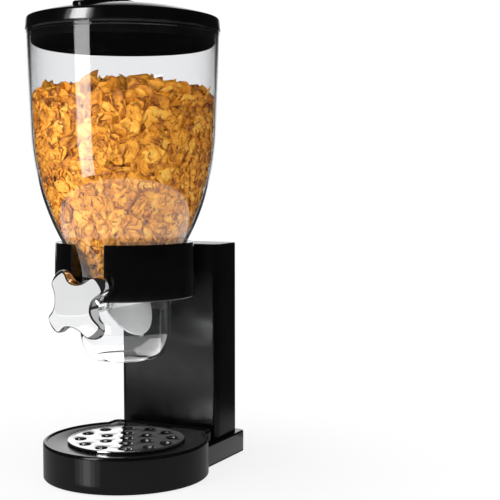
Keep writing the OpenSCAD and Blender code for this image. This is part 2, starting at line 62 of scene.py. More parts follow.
def make_mesh(name, verts, faces, material, sharp=35.0):
    """A smooth-shaded object from points in mm about the hopper axis."""
    mesh = bpy.data.meshes.new(name)
    points = [(x * MM, (y + AXIS_Y) * MM, z * MM) for x, y, z in verts]
    mesh.from_pydata(points, [], faces)
    bm = bmesh.new()
    bm.from_mesh(mesh)
    bmesh.ops.recalc_face_normals(bm, faces=bm.faces)
    bm.to_mesh(mesh)
    bm.free()
    mesh.shade_smooth()
    mesh.set_sharp_from_angle(angle=math.radians(sharp))
    obj = bpy.data.objects.new(name, mesh)
    bpy.context.scene.collection.objects.link(obj)
    mesh.materials.append(material)
    return obj


def soften(obj, width, segments, angle):
    """Rounds the edges sharper than angle degrees by width mm."""
    bevel = obj.modifiers.new("soften", "BEVEL")
    bevel.width = width * MM
    bevel.segments = segments
    bevel.limit_method = "ANGLE"
    bevel.angle_limit = math.radians(angle)
    bevel.harden_normals = True
    return obj


def cut(obj, cutter):
    """Takes the cutter away from a piece and deletes the cutter."""
    boolean = obj.modifiers.new("cut", "BOOLEAN")
    boolean.operation = "DIFFERENCE"
    boolean.solver = "EXACT"
    boolean.object = cutter
    apply_modifiers(obj)
    bpy.data.objects.remove(cutter)
    obj.data.set_sharp_from_angle(angle=math.radians(30))


def apply_modifiers(obj):
    """Replaces the mesh by what its modifiers make of it."""
    graph = bpy.context.evaluated_depsgraph_get()
    mesh = bpy.data.meshes.new_from_object(obj.evaluated_get(graph))
    obj.modifiers.clear()
    obj.data = mesh


def lathe_faces(rings, segments, closed):
    """Faces between neighbouring rings; points shared at the axis are dropped."""
    faces, count = [], len(rings)
    for i in range(count if closed else count - 1):
        a, b = rings[i], rings[(i + 1) % count]
        for j in range(segments):
            k = (j + 1) % segments
            quad = [a[j], a[k], b[k], b[j]]
            faces.append(tuple(dict.fromkeys(quad)))
    return [f for f in faces if len(f) > 2]


def lathe(name, profile, material, closed=True, segments=ROUND, sharp=35.0):
    """Turns a list of (radius, z) round the hopper axis."""
    verts, rings = [], []
    for r, z in profile:
        if r < TINY:
            rings.append([len(verts)] * segments)
            verts.append((0, 0, z))
            continue
        rings.append(list(range(len(verts), len(verts) + segments)))
        for j in range(segments):
            a = 2 * math.pi * j / segments
            verts.append((r * math.cos(a), r * math.sin(a), z))
    faces = lathe_faces(rings, segments, closed)
    return make_mesh(name, verts, faces, material, sharp)


def stack(name, loops, material, capped=True, sharp=35.0):
    """Joins closed loops with the same number of points, and closes both ends if capped."""
    verts, faces, n = [], [], len(loops[0])
    for loop in loops:
        verts.extend(loop)
    for i in range(len(loops) - 1):
        for j in range(n):
            k = (j + 1) % n
            faces.append((i * n + j, i * n + k, (i + 1) * n + k, (i + 1) * n + j))
    if capped:
        faces += [tuple(range(n)), tuple(range((len(loops) - 1) * n, len(loops) * n))]
    return make_mesh(name, verts, faces, material, sharp)


def polar(r, degrees):
    """The point at that radius and angle."""
    return r * math.cos(math.radians(degrees)), r * math.sin(math.radians(degrees))


def edge_round(radius, degrees):
    """How far a rounded edge lies inside the side and below the top."""
    a = math.radians(degrees)
    return radius * (1 - math.cos(a)), radius * (1 - math.sin(a))


def arc(cx, cy, r, a0, a1, n):
    """Points on an arc, angles in degrees."""
    angles = [math.radians(a0 + (a1 - a0) * i / n) for i in range(n + 1)]
    return [(cx + r * math.cos(a), cy + r * math.sin(a)) for a in angles]


def fillet(profile, radius, steps=4):
    """Rounds the corners of a closed outline."""
    out, n = [], len(profile)
    most = 0.45  # share of a side that one corner may use
    nearly_straight = math.radians(160)
    for i, p in enumerate(profile):
        a = Vector(profile[i - 1]) - Vector(p)
        b = Vector(profile[(i + 1) % n]) - Vector(p)
        if a.length < TINY or b.length < TINY or a.angle(b) > nearly_straight:
            out.append(tuple(p))
            continue
        reach = min(radius / math.tan(a.angle(b) / 2), most * a.length, most * b.length)
        start = Vector(p) + a.normalized() * reach
        end = Vector(p) + b.normalized() * reach
        for s in range(steps + 1):
            t = s / steps
            q = start * (1 - t) ** 2 + Vector(p) * 2 * t * (1 - t) + end * t ** 2
            out.append((q.x, q.y))
    return out


# ------------------------------------------------------------------ materials

def node_tree(name):
    """A new material, its nodes, and the function that joins two sockets."""
    material = bpy.data.materials.new(name)
    material.use_nodes = True
    return material, material.node_tree.nodes, material.node_tree.links.new


def noise(nodes_, join, scale, detail=3.0):
    """Noise fixed to the object, so that it moves along with its body."""
    where = nodes_.new("ShaderNodeTexCoord")
    texture = nodes_.new("ShaderNodeTexNoise")
    texture.inputs["Scale"].default_value = scale
    texture.inputs["Detail"].default_value = detail
    join(where.outputs["Object"], texture.inputs["Vector"])
    return texture.outputs["Fac"]


def ramp(nodes_, join, source, low, high):
    """Maps noise, which stays near its middle, onto low to high."""
    span = nodes_.new("ShaderNodeMapRange")
    span.inputs["From Min"].default_value = 0.3
    span.inputs["From Max"].default_value = 0.7
    span.inputs["To Min"].default_value = low
    span.inputs["To Max"].default_value = high
    join(source, span.inputs["Value"])
    return span.outputs["Result"]


def add_bump(nodes_, join, height, strength, distance):
    """Gives a material's surface a relief; distance in metres."""
    bump = nodes_.new("ShaderNodeBump")
    bump.inputs["Strength"].default_value = strength
    bump.inputs["Distance"].default_value = distance
    join(height, bump.inputs["Height"])
    join(bump.outputs["Normal"], nodes_["Principled BSDF"].inputs["Normal"])


def surface(name, dark, light, rough, grain, grain_depth, metallic=0.0, patch=35.0):
    """A finish whose colour, roughness and fine grain all vary over the piece."""
    material, nodes_, join = node_tree(name)
    shader = nodes_["Principled BSDF"]
    shader.inputs["Metallic"].default_value = metallic
    shader.inputs["IOR"].default_value = PLASTIC_IOR
    blend = nodes_.new("ShaderNodeMix")
    blend.data_type = "RGBA"
    blend.inputs[6].default_value = (*dark, 1)
    blend.inputs[7].default_value = (*light, 1)
    join(ramp(nodes_, join, noise(nodes_, join, patch), 0.0, 1.0), blend.inputs[0])
    join(blend.outputs[2], shader.inputs["Base Color"])
    wear = ramp(nodes_, join, noise(nodes_, join, patch * 4, 6.0), *rough)
    join(wear, shader.inputs["Roughness"])
    add_bump(nodes_, join, noise(nodes_, join, grain, 2.0), grain_depth, 0.0002)
    return material


def clear_plastic(name, tint, rough):
    """Clear moulded plastic that lets the lamps through to what is behind it."""
    material, nodes_, join = node_tree(name)
    shader = nodes_["Principled BSDF"]
    shader.inputs["Base Color"].default_value = (*tint, 1)
    shader.inputs["Transmission Weight"].default_value = 1.0
    shader.inputs["IOR"].default_value = PLASTIC_IOR
    wear = ramp(nodes_, join, noise(nodes_, join, 60.0, 5.0), *rough)
    join(wear, shader.inputs["Roughness"])
    add_bump(nodes_, join, noise(nodes_, join, 22.0, 1.0), 0.03, 0.0004)
    through = nodes_.new("ShaderNodeBsdfTransparent")
    through.inputs["Color"].default_value = (0.93, 0.94, 0.95, 1)
    ray = nodes_.new("ShaderNodeLightPath")
    mix = nodes_.new("ShaderNodeMixShader")
    join(ray.outputs["Is Shadow Ray"], mix.inputs[0])
    join(shader.outputs["BSDF"], mix.inputs[1])
    join(through.outputs["BSDF"], mix.inputs[2])
    join(mix.outputs["Shader"], nodes_["Material Output"].inputs["Surface"])
    return material


def flake_material():
    """Toasted flakes: each has its own tone, with blisters and paler high spots."""
    material, nodes_, join = node_tree("toasted_flake")
    shader = nodes_["Principled BSDF"]
    tone = nodes_.new("ShaderNodeAttribute")
    tone.attribute_name = "tone"
    spots = ramp(nodes_, join, noise(nodes_, join, 260.0, 4.0), -0.22, 0.22)
    add = nodes_.new("ShaderNodeMath")
    add.operation = "ADD"
    add.use_clamp = True
    join(tone.outputs["Fac"], add.inputs[0])
    join(spots, add.inputs[1])
    colours = nodes_.new("ShaderNodeValToRGB")
    stops = colours.color_ramp.elements
    stops[0].color = (0.32, 0.085, 0.004, 1)
    stops[1].color = (0.98, 0.58, 0.09, 1)
    middle = stops.new(0.5)
    middle.color = (0.86, 0.33, 0.014, 1)
    join(add.outputs["Value"], colours.inputs["Fac"])
    join(colours.outputs["Color"], shader.inputs["Base Color"])
    wear = ramp(nodes_, join, noise(nodes_, join, 400.0, 3.0), 0.42, 0.7)
    join(wear, shader.inputs["Roughness"])
    add_bump(nodes_, join, noise(nodes_, join, 380.0, 4.0), 0.9, 0.0009)
    return material


PLASTIC_IOR = 1.49
GLOSS_BLACK = surface("gloss_black", (0.0012, 0.0012, 0.0013), (0.003, 0.003, 0.0032),
                      (0.08, 0.14), 1500.0, 0.05)
BASE_BLACK = surface("base_black", (0.002, 0.002, 0.0021), (0.005, 0.005, 0.0052),
                     (0.10, 0.15), 1500.0, 0.06)
COLUMN_BLACK = surface("column_black", (0.002, 0.002, 0.0021), (0.005, 0.005, 0.0052),
                       (0.18, 0.24), 1500.0, 0.06)
PLUG_BLACK = surface("plug_black", (0.0015, 0.0015, 0.0016), (0.004, 0.004, 0.0042),
                     (0.3, 0.4), 1500.0, 0.05)
PLUG_BLACK.node_tree.nodes["Principled BSDF"].inputs["Specular IOR Level"].default_value = 0.0
SATIN_BLACK = surface("satin_black", (0.018, 0.018, 0.019), (0.03, 0.03, 0.032),
                      (0.35, 0.5), 1800.0, 0.25)
CHROME = surface("chrome_plate", (0.84, 0.845, 0.85), (0.90, 0.90, 0.905),
                 (0.03, 0.09), 300.0, 0.015, metallic=1.0)
STEEL = surface("plain_steel", (0.46, 0.47, 0.49), (0.60, 0.61, 0.63),
                (0.22, 0.4), 2500.0, 0.15, metallic=1.0)
RUBBER = surface("soft_rubber", (0.014, 0.014, 0.015), (0.028, 0.028, 0.03),
                 (0.6, 0.85), 2200.0, 0.5)
SILICONE = surface("milky_silicone", (0.50, 0.50, 0.50), (0.62, 0.62, 0.615),
                   (0.3, 0.45), 900.0, 0.1)
ACETAL = surface("white_acetal", (0.66, 0.66, 0.64), (0.76, 0.76, 0.74),
                 (0.3, 0.45), 1500.0, 0.15)
CLEAR = clear_plastic("clear_plastic", (0.985, 0.99, 0.995), (0.0, 0.03))
FLAKE = flake_material()
# painted shade: the core's dark brown stands for the shade deep inside the heap, not for the
# flakes' own colour
SHADED_CORE_LOOK = surface("flake_core_painted_shade", (0.10, 0.03, 0.004), (0.26, 0.09, 0.012),
                     (0.7, 0.9), 300.0, 0.8, patch=90.0)

SLOT_LOOK = {
    "black_gloss": GLOSS_BLACK, "black_matte": SATIN_BLACK, "chrome": CHROME,
    "steel": STEEL, "rubber": RUBBER, "silicone": SILICONE, "acetal": ACETAL, "clear": CLEAR,
}
for row in frame["record"]["subparts"]:
    mesh = nodes[row["node"]].data
    mesh.materials.clear()
    mesh.materials.append(SLOT_LOOK[row["material_slot"]])
for dark in ("lid_plug", "lid_screws"):
    nodes[dark].data.materials[0] = PLUG_BLACK


def place(obj, body, slot, *replaced):
    """Lets a piece ride on a body in the place of the CAD nodes named."""
    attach(obj, body)
    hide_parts(*replaced)
    return obj


# ------------------------------------------------------------------ camera, light, floor

CAM_AZ, CAM_TURN, CAM_PITCH = 32.063, 6.222, -3.826  # degrees
CAM_FAR, CAM_Z = 973.91, 257.112  # mm from the hopper axis, mm above the floor
SENSOR, LENS = 36.0, 82.68  # mm

camera_data = bpy.data.cameras.new("camera")
camera_data.sensor_width = SENSOR
camera_data.lens = LENS
camera_data.clip_start, camera_data.clip_end = 0.05, 60
camera = bpy.data.objects.new("camera", camera_data)
bpy.context.scene.collection.objects.link(camera)
az, look = math.radians(CAM_AZ), math.radians(CAM_AZ - CAM_TURN)
pitch = math.radians(CAM_PITCH)
camera.location = (CAM_FAR * math.sin(az) * MM,
                   (AXIS_Y - CAM_FAR * math.cos(az)) * MM, CAM_Z * MM)
forward = Vector((-math.sin(look) * math.cos(pitch),
                  math.cos(look) * math.cos(pitch), math.sin(pitch)))
camera.rotation_mode = "QUATERNION"
camera.rotation_quaternion = forward.to_track_quat("-Z", "Y")
bpy.context.scene.camera = camera
bpy.context.scene.view_settings.view_transform = "Standard"


def panel(name, azimuth, distance, low, high, width, power):
    """An upright soft box facing the hopper axis, unseen by the camera itself.

    azimuth is in degrees from the front, low and high are its edges; metres and watts.
    """
    light = bpy.data.lights.new(name, "AREA")
    light.shape = "RECTANGLE"
    light.size, light.size_y = width, high - low
    light.energy = power
    obj = bpy.data.objects.new(name, light)
    a = math.radians(azimuth)
    obj.location = (distance * math.sin(a), AXIS_Y * MM - distance * math.cos(a),
                    (low + high) / 2)
    aim = Vector((0, AXIS_Y * MM, (low + high) / 2)) - obj.location
    obj.rotation_mode = "QUATERNION"
    obj.rotation_quaternion = aim.to_track_quat("-Z", "Y")
    obj.visible_camera = False
    bpy.context.scene.collection.objects.link(obj)
    return obj


def flat_panel(name, azimuth, distance, height, width, depth, power, tilt=(0, 0, 1)):
    """A lying soft box; tilt is the way that it shines."""
    obj = panel(name, azimuth, distance, height, height + depth, width, power)
    obj.location.z = height
    turned = Quaternion((0, 0, 1), math.radians(azimuth))
    obj.rotation_quaternion = turned @ Vector(tilt).to_track_quat("-Z", "Y")
    return obj


strip = panel("strip_left", -14.5, 0.60, 0.03, 0.75, 0.19, 2.1)  # upright highlight
table_glow = flat_panel("table_glow", 0, 0.0, 0.004, 1.16, 1.16, 3.6)
table_glow.data.shape = "DISK"
overhead = flat_panel("overhead", -35, 0.45, 1.25, 0.9, 0.9, 9, (0, 0.36, -1))
right = panel("fill_right", 62, 1.3, 0.25, 0.95, 0.5, 4.5)
for lamp in (overhead, right):
    lamp.visible_glossy = False
    lamp.visible_transmission = False

# cards that only show in the reflections of the pieces named at the end of the script
knob_cards = [panel("knob_front_card", -34, 0.60, 0.0, 0.75, 1.15, 2.3),
              flat_panel("knob_floor_card", -34, 0.385, 0.003, 1.0, 0.43, 1.3),
              panel("knob_side_card", 130, 0.60, 0.0, 0.75, 1.1, 1.3)]
lid_cards = [panel("lid_card", -19, 0.60, 0.48, 0.80, 0.20, 3.2),
             panel("lid_soft_card", -19, 0.60, 0.48, 0.80, 0.36, 0.72)]
column_cards = [flat_panel("column_near_card", -36, 0.61, 0.003, 0.9, 0.42, 1.9),
                flat_panel("column_far_card", -35, 1.47, 0.003, 0.9, 1.0, 1.2)]
for card in column_cards:  # their edges run along the column's front
    card.rotation_quaternion = Vector((0, 0, 1)).to_track_quat("-Z", "Y")
# the drip plate mirrors the column, and the column this one
column_cards.append(panel("column_plate_card", -35, 1.50, 0.26, 0.80, 1.2, 4.6))
tray_steps = ((0.036, 0.0009), (0.022, 0.0008), (0.010, 0.0006))  # widths and powers
tray_cards = [panel("tray_card_" + str(i), -1.5, 0.088 + 0.001 * i, 0.002, 0.026, *size)
              for i, size in enumerate(tray_steps)]
foot_card = flat_panel("foot_card", 130, 0.17, 0.003, 0.16, 0.30, 0.06)
chute_cards = [flat_panel("chute_under_card", 0, 0.0, 0.034, 0.09, 0.09, 0.06),
               flat_panel("chute_side_card", 115, 0.22, 0.003, 0.26, 0.30, 0.60)]
for card in knob_cards + lid_cards + column_cards + chute_cards + tray_cards + [foot_card]:
    card.visible_diffuse = False


BACKDROP = (-0.525, 0.85, -0.04)  # the way to the white backdrop, from the object
WHITE = (1, 1, 1, 1)
AMBIENT = (0.34, 0.34, 0.34, 1)  # what lights matt surfaces
BEHIND_CLEAR = (0.97, 0.97, 0.975, 1)  # the backdrop seen through clear walls


def straight_through(nodes_, join, light_path):
    """1 for a ray that has passed clear pieces without a reflection on its way."""
    plain = nodes_.new("ShaderNodeMath")
    plain.operation = "LESS_THAN"
    plain.inputs[1].default_value = 0.5
    join(light_path.outputs["Glossy Depth"], plain.inputs[0])
    both = nodes_.new("ShaderNodeMath")
    both.operation = "MULTIPLY"
    join(light_path.outputs["Is Transmission Ray"], both.inputs[0])
    join(plain.outputs["Value"], both.inputs[1])
    return both.outputs["Value"]


def studio_world():
    """White to the eye; in reflections dark but for the backdrop behind the object."""
    world = bpy.data.worlds.new("studio")
    world.use_nodes = True
    bpy.context.scene.world = world
    nodes_, join = world.node_tree.nodes, world.node_tree.links.new
    where = nodes_.new("ShaderNodeTexCoord")
    turn = nodes_.new("ShaderNodeVectorMath")
    turn.operation = "DOT_PRODUCT"
    turn.inputs[1].default_value = BACKDROP
    join(where.outputs["Generated"], turn.inputs[0])
    shade = nodes_.new("ShaderNodeValToRGB")
    dark, bright = shade.color_ramp.elements
    dark.position, dark.color = 0.89, (0.02, 0.02, 0.02, 1)
    bright.position, bright.color = 0.955, (1.1, 1.1, 1.1, 1)
    join(turn.outputs["Value"], shade.inputs["Fac"])
    ray = nodes_.new("ShaderNodeLightPath")
    sky = shade.outputs["Color"]
    for factor, colour in ((ray.outputs["Is Diffuse Ray"], AMBIENT),
                           (straight_through(nodes_, join, ray), BEHIND_CLEAR),
                           (ray.outputs["Is Camera Ray"], WHITE)):
        choice = nodes_.new("ShaderNodeMix")
        choice.data_type = "RGBA"
        choice.inputs[7].default_value = colour
        join(factor, choice.inputs[0])
        join(sky, choice.inputs[6])
        sky = choice.outputs[2]
    join(sky, nodes_["Background"].inputs["Color"])


def smooth_step(nodes_, join, source, start, end, low, high):
    """low up to start, high from end on, and smooth in between."""
    span = nodes_.new("ShaderNodeMapRange")
    span.interpolation_type = "SMOOTHSTEP"
    span.inputs["From Min"].default_value = start
    span.inputs["From Max"].default_value = end
    span.inputs["To Min"].default_value = low
    span.inputs["To Max"].default_value = high
    join(source, span.inputs["Value"])
    return span.outputs["Result"]


def floor_material():
    """White to the eye, fading into the backdrop; darker in reflections, as in a studio."""
    material, nodes_, join = node_tree("pale_floor")
    shader = nodes_["Principled BSDF"]
    shader.inputs["Roughness"].default_value = 0.8
    paper = ramp(nodes_, join, noise(nodes_, join, 40.0), 0.82, 0.86)
    join(paper, shader.inputs["Base Color"])
    spot = nodes_.new("ShaderNodeTexCoord")
    away = nodes_.new("ShaderNodeVectorMath")
    away.operation = "LENGTH"
    join(spot.outputs["Object"], away.inputs[0])
    fade = smooth_step(nodes_, join, away.outputs["Value"], 0.08, 0.30, 0.84, 1.0)
    white = nodes_.new("ShaderNodeEmission")
    seen_white = nodes_.new("ShaderNodeMixShader")
    join(fade, seen_white.inputs[0])
    join(shader.outputs["BSDF"], seen_white.inputs[1])
    join(white.outputs["Emission"], seen_white.inputs[2])
    near = smooth_step(nodes_, join, away.outputs["Value"], 0.24, 0.32, 0.27, 0.03)
    dull = nodes_.new("ShaderNodeEmission")
    join(near, dull.inputs["Strength"])
    ray = nodes_.new("ShaderNodeLightPath")
    direct = nodes_.new("ShaderNodeMath")
    direct.operation = "MAXIMUM"
    join(ray.outputs["Is Camera Ray"], direct.inputs[0])
    join(straight_through(nodes_, join, ray), direct.inputs[1])
    choose = nodes_.new("ShaderNodeMixShader")
    join(direct.outputs["Value"], choose.inputs[0])
    join(dull.outputs["Emission"], choose.inputs[1])
    join(seen_white.outputs["Shader"], choose.inputs[2])
    join(choose.outputs["Shader"], nodes_["Material Output"].inputs["Surface"])
    return material


studio_world()
FLOOR_HALF = 3.0  # m
floor_mesh = bpy.data.meshes.new("floor")
floor_mesh.from_pydata([(-FLOOR_HALF, -FLOOR_HALF, 0), (FLOOR_HALF, -FLOOR_HALF, 0),
                        (FLOOR_HALF, FLOOR_HALF, 0), (-FLOOR_HALF, FLOOR_HALF, 0)],
                       [], [(0, 1, 2, 3)])
floor = bpy.data.objects.new("floor", floor_mesh)
bpy.context.scene.collection.objects.link(floor)
floor_mesh.materials.append(floor_material())


# ------------------------------------------------------------------ base

TRAY_R, TRAY_X, TRAY_BACK = 70.2, 50.5, 64.0
FOOT_X, FOOT_FRONT, FOOT_BACK, FOOT_TOP = 55.2, 20.0, 119.5, 20.4
CORNER_R = 7.0
TRAY_TOP, RIM_TOP, RIM_ROUND = 30.0, 31.3, 1.6
BASE_LOW, COVER_TOP = 1.2, 3.4
WALL = 2.8
FLAT_START = 4.2  # how far inside the tray's side its level top starts
JOIN_Y = 43.0  # behind this the tray lies in the foot and ends above the cover
PLATE_SEAT_R, LEDGE_Z = 50.3, 29.6
WELL_R, WELL_FLOOR = 46.0, 13.0
NOTCH_R, NOTCH_HALF, NOTCH_Z = 10.0, 13.0, 34.5


def tray_plan(inset):
    """Outline of the tray: a circle whose back is squared off."""
    r, x, back = TRAY_R - inset, TRAY_X - inset, TRAY_BACK - inset
    corner = max(CORNER_R - inset, 0.5)
    start = math.degrees(math.atan2(math.sqrt(r * r - x * x), x))
    points = arc(0, 0, r, start, -180 - start, 150)
    points.append((-x, back - corner - 2.0))
    points += arc(-x + corner, back - corner, corner, 180, 90, 8)
    points += [(t * (x - corner), back) for t in np.linspace(-0.96, 0.96, 25)]
    points += arc(x - corner, back - corner, corner, 90, 0, 8)
    points.append((x, back - corner - 2.0))
    return points


def box_plan(x, y0, y1, r):
    """Outline of a rounded rectangle."""
    return (arc(x - r, y0 + r, r, -90, 0, 8) + arc(x - r, y1 - r, r, 0, 90, 8)
            + arc(-x + r, y1 - r, r, 90, 180, 8) + arc(-x + r, y0 + r, r, 180, 270, 8))


def box_loop(x, y0, y1, r, inset, z):
    """A rounded rectangle at height z, drawn in by inset."""
    plan = box_plan(x - inset, y0 + inset, y1 - inset, r - inset)
    return [(px, py, z) for px, py in plan]


def rounded_top(x, y0, y1, r, top, radius):
    """Loops of a rounded rectangle whose upper edge is rounded off."""
    rounds = [edge_round(radius, a) for a in QUARTER]
    return [box_loop(x, y0, y1, r, inset, top - drop) for inset, drop in rounds]


def tray():
    """The round base with its raised rim, plate seat, crumb well and finger notch."""
    edge = [(0.5, BASE_LOW), (0.0, BASE_LOW + 0.6), (0.0, TRAY_TOP - RIM_ROUND)]
    for inset, drop in (edge_round(RIM_ROUND, a) for a in QUARTER[1:]):
        edge.append((inset, RIM_TOP - drop))
    edge += [(2.2, RIM_TOP), (2.9, RIM_TOP - 0.35), (3.4, TRAY_TOP + 0.1), (FLAT_START, TRAY_TOP)]
    joins_foot = [p[1] > JOIN_Y for p in tray_plan(0)]
    loops = [[(x, y, COVER_TOP) for x, y in tray_plan(WALL)]]
    for inset, z in edge:
        loops.append([(x, y, max(z, COVER_TOP) if behind else z)
                      for (x, y), behind in zip(tray_plan(inset), joins_foot)])
    spin = [math.atan2(y, x) for x, y in tray_plan(FLAT_START)]
    inner = [(PLATE_SEAT_R + 0.5, TRAY_TOP), (PLATE_SEAT_R + 0.12, TRAY_TOP - 0.12),
             (PLATE_SEAT_R, TRAY_TOP - 0.35), (PLATE_SEAT_R, LEDGE_Z), (WELL_R, LEDGE_Z),
             (WELL_R, WELL_FLOOR + 1.5), (WELL_R - 1.5, WELL_FLOOR)]
    for r, z in inner:
        loops.append([(r * math.cos(a), r * math.sin(a), z) for a in spin])
    body = stack("base_tray", loops, BASE_BLACK)
    notch = arc(PLATE_SEAT_R + 0.6, NOTCH_Z, NOTCH_R, 0, 352.5, 47)
    ends = [[(x, y, z) for y, z in notch] for x in (-NOTCH_HALF, NOTCH_HALF)]
    cut(body, stack("notch", ends, GLOSS_BLACK))
    return place(body, "stand", "black_gloss", "base_shell")


def foot():
    """The square block that carries the column."""
    block = (FOOT_X, FOOT_FRONT, FOOT_BACK, CORNER_R)
    loops = [box_loop(*block, inset, z) for inset, z in
             ((WALL, COVER_TOP), (WALL, BASE_LOW), (0.5, BASE_LOW), (0, BASE_LOW + 0.6))]
    loops += rounded_top(*block, FOOT_TOP, 1.4)
    return place(stack("base_foot", loops, BASE_BLACK), "stand", "black_gloss", "base_shell")


PLATE_R, PLATE_TOP, PLATE_T = 49.9, 31.6, 1.4
HOLE_R, MOUTH_R, SINK_DEPTH = 2.9, 5.7, 1.7
HOLE_RINGS = ((0.39, 60), (0.78, 30))  # share of the plate's radius, degrees between holes
PLATE_FLAT = PLATE_TOP - 0.35  # the level part lies a little below the rim


def drip_plate():
    """The chrome plate, with holes whose edges are drawn down in a smooth curve."""
    spots = [(0.0, 0.0)]
    for share, step in HOLE_RINGS:
        spots += [polar(share * PLATE_R, a) for a in range(0, 360, step)]
    flat_r, n_rim, n_hole, sink_steps = PLATE_R - 2.6, 160, 28, 7
    bm = bmesh.new()

    def ring(cx, cy, r, z, count):
        turns = [2 * math.pi * i / count for i in range(count)]
        return [bm.verts.new(((cx + r * math.cos(a)) * MM,
                              (cy + r * math.sin(a) + AXIS_Y) * MM, z * MM)) for a in turns]

    def wall(a, b):
        for i in range(len(a)):
            k = (i + 1) % len(a)
            bm.faces.new((a[i], a[k], b[k], b[i]))

    def outline_edges(points):
        return [bm.edges.new((points[i], points[(i + 1) % len(points)]))
                for i in range(len(points))]

    def sheet(z, mouth_r):
        """One face of the plate; gives its edge and the mouths of its holes."""
        outer = ring(0, 0, flat_r, z, n_rim)
        edges = outline_edges(outer)
        mouths = []
        for cx, cy in spots:
            mouths.append(ring(cx, cy, mouth_r, z, n_hole))
            edges += outline_edges(mouths[-1])
        bmesh.ops.triangle_fill(bm, use_beauty=True, use_dissolve=False, edges=edges)
        return outer, mouths

    def walls(start, profile, cx, cy, count):
        """Walls from one ring through the rings of a (radius, z) profile."""
        for r, z in profile:
            current = ring(cx, cy, r, z, count)
            wall(start, current)
            start = current
        return start

    top_outer, top_mouths = sheet(PLATE_FLAT, MOUTH_R)
    low_outer, low_mouths = sheet(PLATE_TOP - PLATE_T, MOUTH_R + 0.6)
    sunk = PLATE_FLAT - SINK_DEPTH
    steps = [i / sink_steps for i in range(1, sink_steps + 1)]
    throat = [(MOUTH_R + (HOLE_R - MOUTH_R) * t, PLATE_FLAT - SINK_DEPTH * (t * t * (3 - 2 * t)))
              for t in steps] + [(HOLE_R + 0.1, sunk - 0.25), (HOLE_R + 0.8, sunk)]
    for (cx, cy), upper, lower in zip(spots, top_mouths, low_mouths):
        wall(walls(upper, throat, cx, cy, n_hole), lower)
    rim = [(flat_r + 0.5, PLATE_TOP - 0.28), (flat_r + 1.0, PLATE_TOP - 0.05),
           (PLATE_R - 1.0, PLATE_TOP), (PLATE_R - 0.4, PLATE_TOP - 0.15),
           (PLATE_R, PLATE_TOP - 0.6), (PLATE_R, LEDGE_Z + 0.3), (PLATE_R - 0.3, LEDGE_Z),
           (PLATE_R - 2.0, LEDGE_Z), (PLATE_R - 2.3, PLATE_TOP - PLATE_T)]
    wall(walls(top_outer, rim, 0, 0, n_rim), low_outer)
    bmesh.ops.recalc_face_normals(bm, faces=bm.faces)
    mesh = bpy.data.meshes.new("drip_plate_formed")
    bm.to_mesh(mesh)
    bm.free()
    mesh.shade_smooth()
    mesh.set_sharp_from_angle(angle=math.radians(50))
    mesh.materials.append(CHROME)
    obj = bpy.data.objects.new("drip_plate_formed", mesh)
    bpy.context.scene.collection.objects.link(obj)
    return place(obj, "drip_plate", "chrome", "drip_plate")


# ------------------------------------------------------------------ column and collar

COLUMN_X, COLUMN_FRONT, COLUMN_BACK, COLUMN_TOP, COLUMN_R = 50.0, 72.0, 111.8, 194.4, 5.5
HATCH_X, HATCH_LOW, HATCH_HIGH, HATCH_T = 41.0, 32.0, 184.0, 1.6
COLLAR_TOP_R, COLLAR_LOW_R, COLLAR_TOP, COLLAR_LOW = 58.1, 59.1, 199.7, 153.9
LEDGE_R, LEDGE_T, SEAT_R, SLOT_X = 39.0, 2.6, 44.0, 15.0
SEAT_MOUTH = (53.6, COLLAR_TOP)  # the conical seat widens from its foot to its mouth
SEAT_FOOT = (47.6, 186.4)
ARM_X, ARM_Y = 22.0, 54.0


def column():
    """The upright column with the shallow pocket for its back panel."""
    block = (COLUMN_X, COLUMN_FRONT, COLUMN_BACK, COLUMN_R)
    loops = [box_loop(*block, 0, FOOT_TOP - 0.5)] + rounded_top(*block, COLUMN_TOP, 0.9)
    body = stack("column_skin", loops, COLUMN_BLACK)
    inner, outer = COLUMN_BACK - HATCH_T, COLUMN_BACK + 5
    pocket = [(-HATCH_X, inner), (HATCH_X, inner), (HATCH_X, outer), (-HATCH_X, outer)]
    ends = [[(x, y, z) for x, y in pocket] for z in (HATCH_LOW, HATCH_HIGH)]
    cut(body, stack("pocket", ends, GLOSS_BLACK))
    return place(body, "stand", "black_gloss", "column_shell")


def collar():
    """The ring with its front slot, and the arm that joins it to the column."""
    profile = [(COLLAR_LOW_R, COLLAR_LOW), (COLLAR_TOP_R, COLLAR_TOP), SEAT_MOUTH, SEAT_FOOT,
               (SEAT_R + 1, 179), (SEAT_R, 173), (SEAT_R, COLLAR_LOW + LEDGE_T),
               (LEDGE_R, COLLAR_LOW + LEDGE_T), (LEDGE_R, COLLAR_LOW)]
    profile = fillet(profile, 1.0, 3)
    steps, verts, faces = 150, [], []
    for i in range(steps + 1):
        for r, z in profile:
            side = math.asin(SLOT_X / r)
            a = -math.pi / 2 + side + (2 * math.pi - 2 * side) * i / steps
            verts.append((r * math.cos(a), r * math.sin(a), z))
    n = len(profile)
    for i in range(steps):
        for j in range(n):
            k = (j + 1) % n
            faces.append((i * n + j, i * n + k, (i + 1) * n + k, (i + 1) * n + j))
    faces += [tuple(range(n)), tuple(range(steps * n, (steps + 1) * n))]
    ring = make_mesh("collar_ring", verts, faces, GLOSS_BLACK)
    soften(ring, 0.5, 2, 60)
    place(ring, "stand", "black_gloss", "collar")
    arm_loops = [box_loop(ARM_X, ARM_Y, COLUMN_FRONT + 0.3, 0.8, 0, z)
                 for z in (COLLAR_LOW + 3, COLUMN_TOP - 1)]
    arm = stack("collar_arm", arm_loops, GLOSS_BLACK)
    soften(arm, 0.6, 2, 60)
    place(arm, "stand", "black_gloss", "collar")


# ------------------------------------------------------------------ hopper and chute

